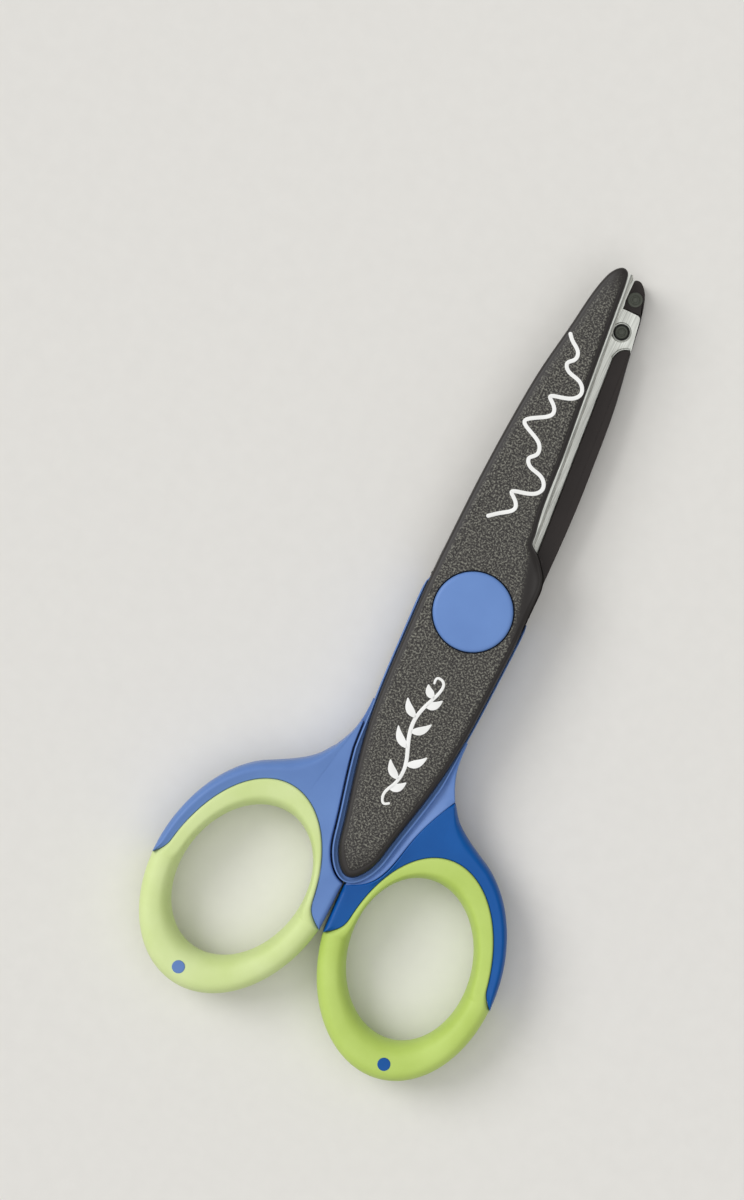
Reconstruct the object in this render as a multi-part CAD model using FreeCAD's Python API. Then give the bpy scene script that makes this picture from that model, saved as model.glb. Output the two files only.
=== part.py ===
"""Decorative edge scissors, closed and lying on their back face.

Two halves turn on one screw. Each half is a plastic handle with a soft finger grip, a
collar, a blade cover and a bent sheet-steel blade with a wavy free edge. The back half is
the front half turned over about the long axis, with the opposite wave on its blade.

X runs across, Y along the blades to the tips, Z up from the table. The pivot axis is X = Y = 0.
Heights inside the code are measured from the parting plane between the halves.
"""
import FreeCAD, Part
import math
import os
from FreeCAD import Vector

# Blade cover: the long dark shell on the outside of each half
cover_reach = 74.2          # pivot axis to the tip
cover_tail = 57.8           # pivot axis to the lower end
cover_width = 21.0          # widest, across the pivot
cover_thickness = 3.0
cover_bevel = 1.2           # sloping border round the outer face
bevel_fall = 0.66           # how far that border drops
edge_at_pivot = 6.3         # the straight long edge, carried on down to the pivot's level
edge_at_tip = -0.7          # the same edge at the tip
shoulder_y = 16.5           # where the straight edge starts
tip_radius = 1.5            # rounding of the tip
rib_low = 0.5               # inner face of the thick rib above the arm's end, from the parting plane

# Layers, from the parting plane outwards
arm_gap = 0.25              # parting plane to an arm's inner face
arm_thickness = 2.75
collar_floor = 0.5

# Finger loop of the front half. Its places are measured from the middle plane and the cover's lower end
loop_thickness = 10.0
loop_rounding = 2.4
hole_width = 25.0
hole_length = 32.8
hole_lean = 13.0            # degrees, top towards the other loop
hole_drop = 10.0            # centre of the hole below the cover's lower end
loop_side_wall = 5.75       # finger hole to the side of the loop
loop_end_wall = 8.75        # finger hole to the end of the loop
loop_lean = 9.4
loop_rise = 0.85            # centre of the loop above the hole's
grip_side_wall = 3.1        # finger hole to the grip's boundary inside the loop
grip_end_wall = 9.05
grip_lean = 4.5
grip_shift = (1.05, -3.8)   # centre of the grip's boundary from the hole's
grip_split_drop = 12.0      # below this line the grip wraps the whole loop
loop_gap = 0.2              # each loop to the middle plane
loop_extra = 0.1            # the loop is this much wider before it is cut off at that gap
core_inset = 1.9            # soft grip between the finger hole and the hard core
core_width = 2.3
core_thickness = 4.4
peg_shift = 4.0             # peg beside the hole's centre
peg_drop = 4.1              # peg below the hole's lower end
peg_radius = 1.3
peg_sunk = 0.05

# Collar that frames the lower end of a cover
collar_band = 0.5           # how far it stands out beside the upper part of the cover
collar_rim = 1.25           # the same round the cover's lower end
collar_height = 1.8         # rim above the collar's floor
wing_height = 1.2           # the wing beside the loop above the collar's floor
rim_low_rise = 23.8         # the rim has its full width up to here above the cover's lower end
rim_high_rise = 31.8        # and the band's width from here up
arm_end_band = 0.5          # the arm and the collar end in a half-round this much wider than the cover
cover_seat_gap = 0.1        # cover to rim
halves_gap = 0.4            # a loop to the other half's collar
# wing outline: distance beyond half the cover's width, height above the cover's lower end
wing_line = [(-6.1, 0.6), (-1.8, 11.9), (2.5, 22.3)]
wing_shoulder = [(0.8, 26.0), (0.1, 28.8), (-0.2, 33.8)]
web_start = [(1.6, 24.6), (2.9, 22.2)]
# outer edge of the loop's plate: distance from the middle plane, height above the cover's lower end
web_shoulder = [(14.8, 20.0), (17.6, 17.4), (20.8, 15.4), (24.5, 13.4)]
web_lap = 1.6               # the plate laps this far inside the wing's line

# Blade
sheet = 0.8
lip_stand = 0.9             # outer face of the bent lip, beyond the cover's straight edge
lip_start_y = 15.6          # the blade starts under the cover's shoulder
blade_tip_gap = 0.3         # end of the blade to the cover's tip
flange_at_pivot = 8.0       # hidden long edge of the flange, from the middle plane
flange_at_tip = 2.4
tab_low_drop = 13.6         # tab's lower end below the cover's tip
tab_high_drop = 6.4
tab_rise = 2.6              # sloping shoulder below the tab
tab_edge_gap = 0.1
tip_strip_x = 1.3           # past the tab only a strip beside the lip is left
bend_share = 0.95           # bend's radius, as a share of the sheet
wave_pitch = 20.15
wave_height = 4.2           # crest to trough of the cutting edge
wave_crest_y = 28.1
wave_clearance = 0.06
stud_radius = 1.45
stud_gap = 0.08
stud_proud = 0.3            # stud head past the blade
low_studs = [(-2.6, 42.0), (-1.0, 24.0)]
tab_stud = (-3.3, 10.8)     # x, and drop below the cover's tip
tip_dome = (-3.0, 3.6)
dome_radius = 1.3
pad_proud = 0.1             # tip pad past the blade's inner face
swing_gap = 0.25            # the rib's lower part to the swing of the other blade's lip
pin_rises = (35.8, 15.8)    # cover pins above the cover's lower end
pin_radius = 1.25
pin_depth = 1.6
pin_socket_end = 0.2

# Pivot
shaft_radius = 3.0
running_gap = 0.05
head_radius = 5.0
head_height = 2.2
recess_width = 1.1
recess_length = 6.0
recess_depth = 1.1
washer_radius = 7.0
spring_radius = 4.6
spring_thickness = 0.5
nut_radius = 4.3
nut_height = 1.8
thread_radius = 2.2
thread_end = 0.2            # thread past the nut
cap_radius = 8.0
cap_gap = 0.15
cap_wall = 2.2
cap_top = 0.9
cap_proud = 0.15
cap_rounding = 0.5
ring_wall = 2.6
ring_sunk = 0.1

# Printed marks on the front cover
ink = 0.06
line_width = 0.75
print_wave_height = 8.4
print_drift = -0.0744       # sideways step of the printed line per mm upwards
print_low_y = 18.2
print_high_y = 57.2
print_x = -1.62             # middle of the printed line at its lower end
sprig_base = (-5.2, 16.8)   # x, and height above the cover's lower end
sprig_end = (2.8, 41.8)
stem_low_width = 0.7
stem_high_width = 0.4
leaf_pairs = 5
leaf_length = 4.6           # the lowest pair
leaf_shrink = 0.35          # each higher pair is this much shorter
leaf_start = 4.0            # lowest pair above the stem's foot
leaf_pitch = 4.4

# Heights above the parting plane, and places worked out from the sizes above
arm_top = arm_gap + arm_thickness
floor_top = arm_top + collar_floor
cover_top = floor_top + cover_thickness
flange_low = floor_top - sheet
mid_z = cover_top
half_width = cover_width / 2
arm_end_radius = half_width + arm_end_band
loop_half = loop_thickness / 2
hole_reach = math.hypot(hole_width / 2 * math.cos(math.radians(hole_lean)),
                        hole_length / 2 * math.sin(math.radians(hole_lean)))
hole_centre = (hole_reach + loop_side_wall, -cover_tail - hole_drop)
loop_centre = (hole_centre[0], hole_centre[1] + loop_rise)
loop_size = (hole_width + 2 * loop_side_wall + loop_extra, hole_length + 2 * loop_end_wall)
grip_centre = (hole_centre[0] + grip_shift[0], hole_centre[1] + grip_shift[1])
grip_size = (hole_width + 2 * grip_side_wall, hole_length + 2 * grip_end_wall)
grip_split_y = -cover_tail - grip_split_drop
peg_centre = (hole_centre[0] + peg_shift, hole_centre[1] - hole_length / 2 - peg_drop)
tab_low_y = cover_reach - tab_low_drop
tab_high_y = cover_reach - tab_high_drop
blade_studs = low_studs + [(tab_stud[0], cover_reach - tab_stud[1])]
dome_centre = (tip_dome[0], cover_reach - tip_dome[1])
cover_pins = [(0.0, rise - cover_tail) for rise in pin_rises]
far = 200.0


def at(x, y, h=0.0):
    return Vector(x, y, mid_z + h)


def spline(points):
    curve = Part.BSplineCurve()
    curve.interpolate([at(*p) for p in points])
    return curve.toShape()


def lines(points):
    vectors = [at(*p) for p in points]
    return [Part.makeLine(a, b) for a, b in zip(vectors, vectors[1:])]


def prism(outline, low, high):
    """A solid over a flat outline, between two heights from the parting plane."""
    wire = outline if isinstance(outline, Part.Wire) else Part.Wire(outline)
    face = Part.Face(wire)
    face.translate(Vector(0, 0, low))
    return face.extrude(Vector(0, 0, high - low))


def disc(x, y, radius, low, high):
    return Part.makeCylinder(radius, high - low, at(x, y, low))


def box(x_low, x_high, y_low, y_high, low, high):
    return Part.makeBox(x_high - x_low, y_high - y_low, high - low, at(x_low, y_low, low))


def ellipse(centre, width, length, lean):
    """A closed wire: an ellipse whose long axis leans to -X by so many degrees."""
    long_axis = Vector(-math.sin(math.radians(lean)), math.cos(math.radians(lean)), 0)
    short_axis = Vector(long_axis.y, -long_axis.x, 0)
    middle = at(*centre)
    curve = Part.Ellipse(middle + long_axis * (length / 2), middle + short_axis * (width / 2), middle)
    return Part.Wire(curve.toShape())


def turned_over(shape):
    """The same shape on the other half: half a turn about the long axis."""
    copy = shape.copy()
    copy.rotate(Vector(0, 0, mid_z), Vector(0, 1, 0), 180)
    return copy


def edge_x(y):
    """The straight long edge of the front cover."""
    return edge_at_pivot - (edge_at_pivot - edge_at_tip) * y / cover_reach


def flange_x(y):
    """The hidden long edge of the front blade's flange."""
    return -flange_at_pivot + (flange_at_pivot - flange_at_tip) * y / cover_reach


# Shape of the cover's sides: share of the reach or tail, share of half the width
upper_side = [(0.945, 0.475), (0.81, 0.64), (0.675, 0.795), (0.54, 0.89), (0.40, 0.952), (0.20, 0.993),
              (0.0, 1.0)]
lower_side = [(0.17, 0.972), (0.35, 0.933), (0.52, 0.848), (0.69, 0.676), (0.86, 0.462),
              (0.955, 0.295)]
# Shoulder below the straight edge: distance from half the cover's width, drop below shoulder_y
shoulder_side = [(0.0, 12.0), (0.0, 9.0), (-0.1, 6.7), (-0.65, 4.7), (-2.0, 2.7), (-3.7, 0.85)]
# and its upper end: distance from the straight edge, drop below shoulder_y
shoulder_foot = [(0.95, 0.1), (0.2, -0.6), (0.02, -1.7)]
straight_inset = 4.5        # the edge is exactly straight from here above the shoulder
# Tip of the cover: distances from the end of the straight edge, as shares of the tip's radius
tip_round = [(0.0, 0.92), (0.2, 0.39), (0.65, 0.06), (1.1, 0.04), (1.6, 0.33), (2.05, 0.83)]


def side(stations, length, extra=0.0):
    return [(share * cover_width / 2 + extra, along * length) for along, share in stations]


def closed_spline(points):
    """A smooth closed wire through points."""
    curve = Part.BSplineCurve()
    curve.interpolate([at(*p) for p in points], PeriodicFlag=True)
    return Part.Wire(curve.toShape())


def offset_outline(wire, distance):
    """A closed outline moved outwards; the distance may depend on y."""
    edge = wire.Edges[0]
    start, end = edge.ParameterRange
    count = 200
    moved = []
    for i in range(count):
        place = edge.valueAt(start + (end - start) * i / count)
        along = edge.tangentAt(start + (end - start) * i / count)
        out = distance(place.y) if callable(distance) else distance
        moved.append((place.x - along.y * -out, place.y - along.x * out))
    return closed_spline(moved)


def cover_outline():
    """The front cover: curved left side, round tail, shoulder, straight edge and rounded tip."""
    left = [(-x, y) for x, y in side(upper_side, cover_reach)]
    tail = [(x, -y) for x, y in side(lower_side, cover_tail)]
    lower = [(-x, y) for x, y in tail] + [(0.0, -cover_tail)] + tail[::-1]
    start_x = edge_x(shoulder_y)
    shoulder = [(half_width + x, shoulder_y - y) for x, y in shoulder_side]
    shoulder = [(half_width, 0.0)] + shoulder + [(start_x + x, shoulder_y - y) for x, y in shoulder_foot]
    low_y, high_y = shoulder_y + straight_inset, cover_reach - 3 * tip_radius
    straight = [(edge_x(y), y) for y in (low_y + (high_y - low_y) * i / 4 for i in range(5))]
    tip = [(edge_at_tip - x * tip_radius, cover_reach - y * tip_radius) for x, y in tip_round]
    return closed_spline(left + lower + shoulder + straight + tip)


def rim_outline(extra=0.0):
    """The collar's outline without its wing: a thin band above, a wider rim round the tail."""
    def stand(y):
        share = (rim_high_rise - cover_tail - y) / (rim_high_rise - rim_low_rise)
        share = min(max(share, 0.0), 1.0)
        return collar_band + (collar_rim - collar_band) * share + extra
    return offset_outline(cover_outline(), stand)


def side_x(y):
    """Half width of the cover at this height above the pivot."""
    stations = sorted((along * cover_reach, share * cover_width / 2) for along, share in upper_side)
    for (y0, x0), (y1, x1) in zip(stations, stations[1:]):
        if y <= y1:
            return x0 + (x1 - x0) * (y - y0) / (y1 - y0)
    return stations[-1][1]


def beside_cover(points):
    """Places given from half the cover's width and from its lower end."""
    return [(half_width + x, y - cover_tail) for x, y in points]


def round_ended(low, high):
    """Everything below the pivot, and a half-round above it."""
    return disc(0, 0, arm_end_radius, low, high).fuse(box(-far, far, -far, 0, low, high))


def collar_plan(low, high):
    """The collar's whole outline as a solid, cut off short of the blades."""
    plan = prism(rim_outline(), low, high).common(round_ended(low, high))
    foot = (2 * loop_gap, -cover_tail - collar_rim - 2 * halves_gap)
    line, shoulder = beside_cover(wing_line), beside_cover(wing_shoulder)
    inner = [(x - half_width / 2, y) for x, y in (shoulder[1], line[1])]
    edges = [spline([foot] + line), spline([line[-1]] + shoulder)]
    edges += lines([shoulder[-1], *inner, foot])
    return plan.fuse(prism(edges, low, high))


def make_collar():
    """Floor under the cover, rim round its edge, and the lower wing beside the loop."""
    plan = collar_plan(arm_top, floor_top + wing_height)
    rim = prism(rim_outline(), arm_top, floor_top + collar_height).common(round_ended(arm_top, cover_top))
    pocket = prism(offset_outline(cover_outline(), cover_seat_gap), floor_top, cover_top + 1)
    collar = plan.fuse(rim).cut(pocket)
    collar = collar.cut(disc(0, 0, cap_radius - cap_wall + cap_gap, 0, cover_top))
    for x, y in cover_pins:
        collar = collar.cut(disc(x, y, pin_radius + stud_gap, 0, cover_top))
    return collar.removeSplitter()


def loop_ring():
    """The finger loop as one rounded ring, before it is shared between handle and grip."""
    outer = prism(ellipse(loop_centre, *loop_size, loop_lean), -loop_half, loop_half)
    hole = prism(ellipse(hole_centre, hole_width, hole_length, hole_lean), -loop_half, loop_half)
    ring = outer.cut(hole)
    rims = [e for e in ring.Edges if abs(abs(e.BoundBox.Center.z - mid_z) - loop_half) < 0.01
            and e.BoundBox.ZLength < 0.01]
    ring = ring.makeFillet(loop_rounding, rims)
    return ring.cut(box(-far, loop_gap, -far, far, -loop_half - 1, loop_half + 1))


def grip_zone():
    """Everything inside the grip's boundary."""
    inside = prism(ellipse(grip_centre, *grip_size, grip_lean), -loop_half - 1, loop_half + 1)
    below = box(-far, far, -far, grip_split_y, -loop_half - 1, loop_half + 1)
    return inside.fuse(below)


def grip_core():
    """The hard ring and the peg that hold the soft grip."""
    inner = (hole_width + 2 * core_inset, hole_length + 2 * core_inset)
    outer = (inner[0] + 2 * core_width, inner[1] + 2 * core_width)
    core = prism(ellipse(hole_centre, *outer, hole_lean), -core_thickness / 2, core_thickness / 2)
    core = core.cut(prism(ellipse(hole_centre, *inner, hole_lean), -core_thickness, core_thickness))
    return core.fuse(disc(*peg_centre, peg_radius, peg_sunk - loop_half, loop_half - peg_sunk))


def handle_web():
    """The plate that joins the loop to the collar, as thick as the loop. It laps inside the wing."""
    foot, low_y = -cover_tail - collar_rim, hole_centre[1] - hole_length / 4
    inner = [(x - web_lap, y + web_lap / 2) for x, y in beside_cover(wing_line)]
    outer = beside_cover(web_start) + [(x, y - cover_tail) for x, y in web_shoulder]
    edges = lines([(loop_gap, low_y), (loop_gap, foot), *inner, outer[0]]) + [spline(outer)]
    edges += lines([outer[-1], hole_centre, (hole_centre[0], low_y), (loop_gap, low_y)])
    return prism(edges, -loop_half, loop_half)


def make_handle(core, zone, ring):
    """Loop body, arm under the collar, and the core that carries the grip."""
    arm = collar_plan(arm_gap, arm_top)
    beside = box(loop_gap, far, -far, beside_cover(wing_shoulder)[1][1], -far, far)
    under = collar_plan(-loop_half, arm_gap).common(beside)
    clear = prism(rim_outline(halves_gap), -far, arm_gap)
    above = collar_plan(arm_top, far)
    body = ring.fuse(handle_web()).cut(zone).cut(above).fuse(core)
    body = body.fuse(under).cut(clear).fuse(arm)
    body = body.cut(disc(0, 0, shaft_radius + running_gap, -far, far))
    for x, y in cover_pins:
        body = body.cut(disc(x, y, pin_radius + stud_gap, arm_top - pin_depth - pin_socket_end, arm_top))
    return body.removeSplitter()


def make_grip(core, zone, ring):
    return ring.common(zone).cut(core).removeSplitter()


def make_cover():
    """Shell with a sloping border, hidden pins and studs, a thick rib beside the blade and a tip pad."""
    outline = offset_outline(cover_outline(), 0.0)
    body = prism(outline, floor_top, cover_top - bevel_fall)
    low, high = outline.copy(), offset_outline(cover_outline(), -cover_bevel)
    low.translate(Vector(0, 0, cover_top - bevel_fall))
    high.translate(Vector(0, 0, cover_top))
    body = body.fuse(Part.makeLoft([low, high], True))
    body = body.cut(disc(0, 0, cap_radius + cap_gap, floor_top - 1, cover_top + 1))
    low_y, neck_y = lip_start_y - stud_gap, tab_low_y - tab_rise
    beside = lines([(-far, 0), (far, 0), (far, low_y), (flange_x(low_y) - stud_gap, low_y),
                    (flange_x(neck_y) - stud_gap, neck_y), (-side_x(tab_low_y), tab_low_y - stud_gap),
                    (-far, tab_low_y), (-far, 0)])
    swing = math.hypot(edge_x(lip_start_y) + lip_stand - sheet, lip_start_y) - swing_gap
    clear = disc(0, 0, swing, 0, floor_top).fuse(
        box(-far, flange_x(low_y) - stud_gap, 0, far, 0, floor_top))
    rib = prism(outline, rib_low, floor_top).common(prism(beside, 0, floor_top)).common(clear)
    body = body.fuse(rib.cut(disc(0, 0, arm_end_radius + cover_seat_gap, 0, floor_top)))
    past_tab = box(-far, -tip_strip_x - stud_gap, tab_high_y + stud_gap, far, 0, floor_top)
    body = body.fuse(prism(outline, flange_low - pad_proud, floor_top).common(past_tab))
    for x, y in blade_studs:
        body = body.fuse(disc(x, y, stud_radius, flange_low - stud_proud, floor_top))
    body = body.fuse(disc(*dome_centre, dome_radius, flange_low - stud_proud, floor_top))
    for x, y in cover_pins:
        body = body.fuse(disc(x, y, pin_radius, arm_top - pin_depth, floor_top))
    return body.removeSplitter()


def wave(radius):
    """Height of the cutting edge at this distance from the pivot, as a share of crest to trough."""
    turn = 2 * math.pi * (radius - wave_crest_y) / wave_pitch
    return 0.261 * math.cos(turn) + 0.019 * math.cos(2 * turn) + 0.239 * math.cos(3 * turn)


def make_blade(sign):
    """Bent sheet: a flange under the cover and a lip whose edge follows the wave."""
    tip_y = cover_reach - blade_tip_gap
    lip_out = [(edge_x(y) + lip_stand, y) for y in (lip_start_y, tip_y)]
    lip_in = [(x - sheet, y) for x, y in lip_out]
    neck_y = tab_low_y - tab_rise
    flange = [lip_out[1], (-tip_strip_x, tip_y), (-tip_strip_x, tab_high_y),
              (tab_edge_gap - side_x(tab_high_y), tab_high_y - sheet),
              (tab_edge_gap - side_x(tab_low_y), tab_low_y),
              (flange_x(neck_y), neck_y), (flange_x(lip_start_y), lip_start_y), lip_out[0]]
    plate = prism(lines(flange + [flange[0]]), flange_low, floor_top)
    lip = prism(lines(lip_out + lip_in[::-1] + [lip_out[0]]), -wave_height, floor_top)
    blade = plate.fuse(lip).removeSplitter()
    bend = [e for e in blade.Edges if abs(e.BoundBox.Center.z - mid_z - floor_top) < 0.01
            and e.BoundBox.YLength > (tip_y - lip_start_y) / 2 and e.BoundBox.Center.x > 0]
    blade = blade.makeFillet(sheet * bend_share, bend)
    steps = 60
    reach = cover_reach + 4
    radii = [shoulder_y - 1 + (reach - shoulder_y + 1) * i / steps for i in range(steps + 1)]
    heights = [sign * wave(r) * wave_height + wave_clearance for r in radii]
    curve = Part.BSplineCurve()
    curve.interpolate([Vector(r, 0, mid_z + h) for r, h in zip(radii, heights)])
    low = mid_z - wave_height - 2
    base = [Vector(radii[-1], 0, mid_z + heights[-1]), Vector(radii[-1], 0, low), Vector(radii[0], 0, low),
            Vector(radii[0], 0, mid_z + heights[0])]
    profile = Part.Wire([curve.toShape()] + [Part.makeLine(a, b) for a, b in zip(base, base[1:])])
    sweep = Part.Face(profile)
    sweep.rotate(Vector(0, 0, 0), Vector(0, 0, 1), 60)
    below = sweep.revolve(Vector(0, 0, 0), Vector(0, 0, 1), 50)
    blade = blade.cut(below)
    for x, y in blade_studs:
        blade = blade.cut(disc(x, y, stud_radius + stud_gap, 0, floor_top + 1))
    return blade


def make_screw():
    """Shoulder screw from the back: cross-recess head, plain shank, reduced end for the nut."""
    shank_end = arm_top + running_gap
    thread_top = shank_end + spring_thickness + nut_height + thread_end
    head_low = -arm_top - head_height
    screw = disc(0, 0, head_radius, head_low, -arm_top)
    screw = screw.fuse(disc(0, 0, shaft_radius, -arm_top, shank_end))
    screw = screw.fuse(disc(0, 0, thread_radius, shank_end, thread_top))
    for width, length in ((recess_width, recess_length), (recess_length, recess_width)):
        slot = box(-width / 2, width / 2, -length / 2, length / 2, head_low - 1, head_low + recess_depth)
        screw = screw.cut(slot)
    return screw.removeSplitter()


def washer(outer, inner, low, high):
    return disc(0, 0, outer, low, high).cut(disc(0, 0, inner, low - 1, high + 1))


def make_nut(low):
    """Hexagon nut with a round bore."""
    corners = [(nut_radius * math.cos(math.radians(a)), nut_radius * math.sin(math.radians(a)))
               for a in range(0, 361, 60)]
    nut = prism(lines(corners), low, low + nut_height)
    return nut.cut(disc(0, 0, thread_radius + running_gap, low - 1, low + nut_height + 1))


def make_cap():
    """Button over the nut, hollow below."""
    top = cover_top + cap_proud
    cap = disc(0, 0, cap_radius, floor_top, top)
    rims = [e for e in cap.Edges
            if e.BoundBox.ZLength < 0.01 and e.BoundBox.Center.z > mid_z + top - 0.01]
    cap = cap.makeFillet(cap_rounding, rims)
    return cap.cut(disc(0, 0, cap_radius - cap_wall, floor_top - 1, top - cap_top))


def make_pattern_print():
    """The printed sample of the cut: one thin wavy line."""
    steps = 48
    rows = [print_low_y + (print_high_y - print_low_y) * i / steps for i in range(steps + 1)]
    middle = [(print_x + print_drift * (y - print_low_y) + print_wave_height * wave(y), y) for y in rows]
    left, right = [], []
    for i, (x, y) in enumerate(middle):
        x0, y0 = middle[max(i - 1, 0)]
        x1, y1 = middle[min(i + 1, steps)]
        size = math.hypot(x1 - x0, y1 - y0)
        nx, ny = -(y1 - y0) / size * line_width / 2, (x1 - x0) / size * line_width / 2
        left.append((x + nx, y + ny))
        right.append((x - nx, y - ny))
    edges = [spline(left), spline(right[::-1])] + lines([left[-1], right[-1]]) + lines([right[0], left[0]])
    return prism(Part.Wire(Part.__sortEdges__(edges)), cover_top, cover_top + ink)


def make_sprig_print():
    """A plain leafy sprig in white ink: a stem with pairs of leaves."""
    (x0, y0), (x1, y1) = [(x, y - cover_tail) for x, y in (sprig_base, sprig_end)]
    length = math.hypot(x1 - x0, y1 - y0)
    ux, uy = (x1 - x0) / length, (y1 - y0) / length

    def place(along, across):
        return (x0 + ux * along - uy * across, y0 + uy * along + ux * across)

    low, high = stem_low_width / 2, stem_high_width / 2
    stem = lines([place(0, low), place(0, -low), place(length, -high), place(length, high), place(0, low)])
    sprig = prism(stem, cover_top, cover_top + ink)
    for number in range(leaf_pairs):
        along = leaf_start + number * leaf_pitch
        leaf = leaf_length - number * leaf_shrink
        for way in (1, -1):
            root = (along, way * stem_high_width / 4)
            end = (along + leaf * 0.8, way * leaf * 0.75)
            bulge = [(along + leaf * 0.15, way * leaf * 0.55), (along + leaf * 0.62, way * leaf * 0.2)]
            edges = [spline([place(*root), place(*bulge[0]), place(*end)]),
                     spline([place(*end), place(*bulge[1]), place(*root)])]
            sprig = sprig.fuse(prism(edges, cover_top, cover_top + ink))
    return sprig.removeSplitter()


def build():
    core, zone, ring = grip_core(), grip_zone(), loop_ring()
    handle, grip = make_handle(core, zone, ring), make_grip(core, zone, ring)
    collar, cover = make_collar(), make_cover()
    spring_low = arm_top + 2 * running_gap
    nodes = {
        "front_handle": handle,
        "front_grip": grip,
        "front_collar": collar,
        "front_blade_cover": cover,
        "front_blade": make_blade(1),
        "back_handle": turned_over(handle),
        "back_grip": turned_over(grip),
        "back_collar": turned_over(collar),
        "back_blade_cover": turned_over(cover),
        "back_blade": turned_over(make_blade(-1)),
        "pivot_screw": make_screw(),
        "glide_washer": washer(washer_radius, shaft_radius + running_gap, -arm_gap, arm_gap - running_gap),
        "spring_washer": washer(spring_radius, thread_radius + running_gap, spring_low,
                                spring_low + spring_thickness),
        "pivot_nut": make_nut(spring_low + spring_thickness),
        "pivot_cap": make_cap(),
        "back_pivot_ring": turned_over(washer(cap_radius, cap_radius - ring_wall, floor_top,
                                               cover_top - ring_sunk)),
        "edge_pattern_print": make_pattern_print(),
        "sprig_print": make_sprig_print(),
    }
    os.makedirs("parts", exist_ok=True)
    for name, shape in nodes.items():
        shape.exportStep(f"parts/{name}.step")
        print(name, len(shape.Solids), "solid", round(shape.Volume, 1), "mm3", "valid", shape.isValid())


build()
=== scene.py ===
import math
import bmesh
import bpy
import numpy as np
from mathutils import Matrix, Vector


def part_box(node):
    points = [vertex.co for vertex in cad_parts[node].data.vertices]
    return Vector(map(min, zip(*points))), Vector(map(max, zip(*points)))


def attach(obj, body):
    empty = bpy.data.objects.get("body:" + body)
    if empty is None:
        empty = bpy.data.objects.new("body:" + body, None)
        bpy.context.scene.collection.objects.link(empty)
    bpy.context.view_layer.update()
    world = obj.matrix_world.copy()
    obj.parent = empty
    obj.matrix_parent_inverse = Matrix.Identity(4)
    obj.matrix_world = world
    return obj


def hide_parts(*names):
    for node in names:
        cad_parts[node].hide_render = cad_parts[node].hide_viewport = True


# Decorative edge scissors, closed, lying on their back cover.
# Shapes are worked out in millimetres: x across, y along the blades, h above the plane between the halves.

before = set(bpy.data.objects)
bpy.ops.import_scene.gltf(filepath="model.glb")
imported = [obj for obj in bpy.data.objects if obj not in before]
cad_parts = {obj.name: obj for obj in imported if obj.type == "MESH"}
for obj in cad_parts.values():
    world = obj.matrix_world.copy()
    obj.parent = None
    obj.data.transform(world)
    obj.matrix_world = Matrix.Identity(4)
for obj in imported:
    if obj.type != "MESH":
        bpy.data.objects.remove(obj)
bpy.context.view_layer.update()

coverLow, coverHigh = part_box("front_blade_cover")
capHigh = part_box("pivot_cap")[1]
gripLow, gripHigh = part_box("front_grip")
middle = coverHigh.z / 2                # height of the plane between the halves, in metres
coverTop = (coverHigh.z - middle) * 1000
coverReach = coverHigh.y * 1000
coverTail = -coverLow.y * 1000
halfWidth = (coverHigh.x - coverLow.x) * 500
loopHalf = (gripHigh.z - gripLow.z) * 500
capRadius = capHigh.x * 1000

# heights of the stacked layers above the plane between the halves, and the blades' sheet gauge
layers = {"armLow": 0.25, "armTop": 3.0, "floorTop": 3.5, "sheet": 0.8}


# ---- curves and meshes

def throughPoints(points, count, closed=False):
    # cubic spline through the points, by distance along them, then spaced evenly
    p = np.array(points, float)
    if closed:
        p = np.vstack([p, p[:1]])
    t = np.concatenate([[0], np.cumsum(np.linalg.norm(np.diff(p, axis=0), axis=1))])
    n, h = len(p), np.diff(t)
    slope = np.diff(p, axis=0) / h[:, None]
    a, b = np.zeros((n, n)), np.zeros((n, p.shape[1]))
    i = np.arange(1, n - 1)
    a[i, i - 1], a[i, i], a[i, i + 1] = h[:-1], 2 * (h[:-1] + h[1:]), h[1:]
    b[1:-1] = 6 * (slope[1:] - slope[:-1])
    a[0, 0] = a[-1, -1] = 1
    if closed:
        a[0, -1] = -1
        a[-1, :] = 0
        a[-1, -2], a[-1, 0], a[-1, 1] = h[-1], 2 * (h[-1] + h[0]), h[0]
        b[-1] = 6 * (slope[0] - slope[-1])
    m = np.linalg.solve(a, b)
    u = np.linspace(0, t[-1], 60 * n)
    k = np.clip(np.searchsorted(t, u, side="right") - 1, 0, n - 2)
    d, e, w = (u - t[k])[:, None], (t[k + 1] - u)[:, None], h[k][:, None]
    q = (m[k] * e ** 3 + m[k + 1] * d ** 3) / (6 * w)
    q += (p[k] / w - m[k] * w / 6) * e + (p[k + 1] / w - m[k + 1] * w / 6) * d
    return spaced(q, count + closed)[:count]


def spaced(curve, count):
    # the same line with points evenly spaced along it
    s = np.concatenate([[0], np.cumsum(np.linalg.norm(np.diff(curve, axis=0), axis=1))])
    want = np.linspace(0, s[-1], count)
    return np.stack([np.interp(want, s, curve[:, c]) for c in range(curve.shape[1])], 1)


def inward(outline):
    # unit normals of a closed outline, pointing inwards
    along = np.roll(outline, -1, 0) - np.roll(outline, 1, 0)
    normal = np.stack([-along[:, 1], along[:, 0]], 1) / np.linalg.norm(along, axis=1)[:, None]
    x, y = outline.T
    area = np.sum(x * np.roll(y, -1) - np.roll(x, -1) * y)
    return normal * np.sign(area)


def surface(rings, closedPath, closedSection=True):
    # quads over a grid of rings, and the flat ends that an open path of closed sections gets
    count, size = rings.shape[:2]
    index = np.arange(count * size).reshape(count, size)
    a = index if closedPath else index[:-1]
    b = np.roll(index, -1, 0) if closedPath else index[1:]
    if closedSection:
        a2, b2 = np.roll(a, -1, 1), np.roll(b, -1, 1)
    else:
        a, b, a2, b2 = a[:, :-1], b[:, :-1], a[:, 1:], b[:, 1:]
    quads = np.stack([a, b, b2, a2], -1).reshape(-1, 4)
    ends = [index[0], index[-1]] if closedSection and not closedPath else []
    return rings.reshape(-1, 3), [quads], ends


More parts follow.
